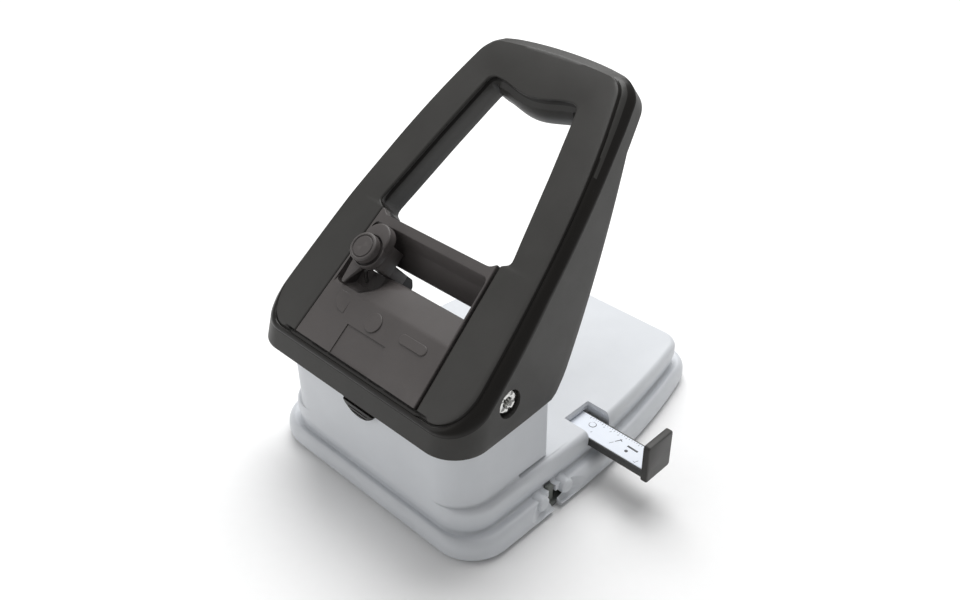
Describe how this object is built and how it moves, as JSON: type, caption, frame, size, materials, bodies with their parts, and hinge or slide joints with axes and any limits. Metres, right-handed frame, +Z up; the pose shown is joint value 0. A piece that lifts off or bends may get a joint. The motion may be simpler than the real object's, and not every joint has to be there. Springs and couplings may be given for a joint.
{
  "type": "card punch",
  "caption": "Desktop card punch with a tilted loop handle, sliding selector, card table, side guide and punches for a rounded corner, a round hole and a slot.",
  "frame": {"origin": "middle of the flat underside, at the height of the table it stands on", "axes": "+X across the width, towards the side the guide pulls out of; +Y from the punch block to the card table; +Z up"},
  "size_m": [0.1212, 0.1326, 0.1269],
  "materials": {
    "base_plastic": "light grey moulded plastic, satin gloss",
    "handle_plastic": "dark warm grey moulded plastic, satin",
    "panel_plastic": "dark warm grey moulded plastic, fine matt texture",
    "tray_plastic": "soft dark grey plastic",
    "black_plastic": "black moulded plastic",
    "label_white": "printed white plastic film",
    "rivet_chrome": "bright plated steel",
    "spring_steel": "drawn spring wire",
    "tool_steel": "ground tool steel",
    "zinc_steel": "zinc plated sheet steel"
  },
  "bodies": {
    "base": {"base_housing": "base_plastic", "die_plate": "tool_steel", "punch_guide": "tool_steel", "punch_bracket": "zinc_steel", "clamp_screws": "zinc_steel", "frame_screws": "zinc_steel", "pivot_axle": "rivet_chrome", "axle_washers": "black_plastic", "corner_punch_spring": "spring_steel", "hole_punch_spring": "spring_steel", "slot_punch_spring": "spring_steel", "handle_spring": "spring_steel", "guide_friction_spring": "spring_steel"},
    "tray": {"chip_tray": "tray_plastic"},
    "handle": {"handle_frame": "handle_plastic", "handle_panel": "panel_plastic", "panel_screws": "zinc_steel"},
    "carriage": {"selector_carriage": "panel_plastic", "presser_foot": "tool_steel", "button_spring": "spring_steel"},
    "button": {"selector_button": "panel_plastic"},
    "corner_cutter": {"corner_punch": "tool_steel"},
    "hole_cutter": {"hole_punch": "tool_steel"},
    "slot_cutter": {"slot_punch": "tool_steel"},
    "side_guide": {"guide_bar": "black_plastic", "guide_label": "label_white", "guide_end_stop": "handle_plastic"},
    "lock": {"lock_slide": "handle_plastic"}
  },
  "joints": [
    {"name": "handle_press", "type": "hinge", "parent": "base", "child": "handle", "pos_m": [0, -0.0452, 0.0553], "axis": [-1, 0, 0], "range_deg": [0, 22], "stiffness_Nm_per_rad": 0.9, "springref_deg": -28.65, "deforming": ["handle_spring"]},
    {"name": "selector_slide", "type": "slide", "parent": "handle", "child": "carriage", "axis": [1, 0, 0], "range_m": [0, 0.0335]},
    {"name": "button_press", "type": "slide", "parent": "carriage", "child": "button", "axis": [0, 0.6307, -0.776], "range_m": [0, 0.0015], "stiffness_N_per_m": 400, "springref_m": -0.002, "deforming": ["button_spring"]},
    {"name": "corner_punch_press", "type": "slide", "parent": "base", "child": "corner_cutter", "axis": [0, 0, -1], "range_m": [0, 0.006], "deforming": ["corner_punch_spring"]},
    {"name": "hole_punch_press", "type": "slide", "parent": "base", "child": "hole_cutter", "axis": [0, 0, -1], "range_m": [0, 0.006], "stiffness_N_per_m": 500, "springref_m": -0.004, "deforming": ["hole_punch_spring"]},
    {"name": "slot_punch_press", "type": "slide", "parent": "base", "child": "slot_cutter", "axis": [0, 0, -1], "range_m": [0, 0.006], "stiffness_N_per_m": 500, "springref_m": -0.004, "deforming": ["slot_punch_spring"]},
    {"name": "guide_slide", "type": "slide", "parent": "base", "child": "side_guide", "axis": [1, 0, 0], "range_m": [-0.02, 0.02]},
    {"name": "lock_travel", "type": "slide", "parent": "base", "child": "lock", "axis": [0, 0, 1], "range_m": [0, 0.003]},
    {"name": "tray_pull", "type": "slide", "parent": "base", "child": "tray", "axis": [0, 0, -1], "range_m": [0, 0.012]}
  ],
  "couplings": [
    {"joint": "corner_punch_press", "follows": "handle_press", "m_per_rad": 0.015}
  ]
}
